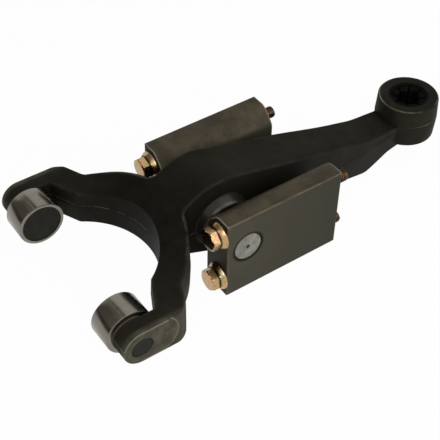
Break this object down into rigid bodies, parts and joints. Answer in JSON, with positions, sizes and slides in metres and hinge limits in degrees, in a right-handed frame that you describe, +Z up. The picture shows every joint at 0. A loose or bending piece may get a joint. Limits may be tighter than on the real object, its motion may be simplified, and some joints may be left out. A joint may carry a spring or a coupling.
{
  "type": "clutch fork",
  "caption": "Clutch release fork: a forged lever with rollers on its prongs and an eye at its end, on a shaft held in bearing blocks.",
  "frame": {"origin": "middle of the outline, on the bottom faces of the two bearing blocks", "axes": "+X from the prongs to the eye, +Y along the pivot shaft, +Z up"},
  "size_m": [0.3652, 0.182, 0.0811],
  "materials": {
    "forged_steel": "blasted forging with a thin dark oil film",
    "block_steel": "phosphated, fine grain",
    "ground_steel": "ground",
    "yellow_zinc": "yellow zinc plate",
    "roller_steel": "polished",
    "dark_stud": "dark heat treated",
    "bearing_steel": "ground",
    "seal_rubber": "matt",
    "washer_plastic": "matt",
    "black_ring": "black oxide",
    "spring_insert": "dark spring steel"
  },
  "bodies": {
    "blocks_and_shaft": {"pivot_shaft": "ground_steel", "front_bearing_block": "block_steel", "front_upper_bolt": "yellow_zinc", "front_lower_bolt": "yellow_zinc", "rear_bearing_block": "block_steel", "rear_upper_bolt": "yellow_zinc", "rear_lower_bolt": "yellow_zinc"},
    "lever": {"fork_lever": "forged_steel", "eye_sleeve": "black_ring", "eye_insert": "spring_insert", "front_needle_cup": "bearing_steel", "front_hub_needles": "bearing_steel", "front_hub_seal": "seal_rubber", "front_thrust_washer": "washer_plastic", "front_roller_stud": "dark_stud", "front_roller_washer": "washer_plastic", "front_roller_needles": "bearing_steel", "rear_needle_cup": "bearing_steel", "rear_hub_needles": "bearing_steel", "rear_hub_seal": "seal_rubber", "rear_thrust_washer": "washer_plastic", "rear_roller_stud": "dark_stud", "rear_roller_washer": "washer_plastic", "rear_roller_needles": "bearing_steel"},
    "front_roller": {"front_roller": "roller_steel"},
    "rear_roller": {"rear_roller": "roller_steel"}
  },
  "joints": [
    {"name": "fork_swing", "type": "hinge", "parent": "blocks_and_shaft", "child": "lever", "pos_m": [-0.0508, 0, 0.043], "axis": [0, 1, 0], "range_deg": [-8, 8]},
    {"name": "front_roller_spin", "type": "hinge", "parent": "lever", "child": "front_roller", "pos_m": [-0.1639, -0.06375, 0.0398], "axis": [0, 1, 0], "continuous": true},
    {"name": "rear_roller_spin", "type": "hinge", "parent": "lever", "child": "rear_roller", "pos_m": [-0.1639, 0.06375, 0.0398], "axis": [0, 1, 0], "continuous": true}
  ]
}
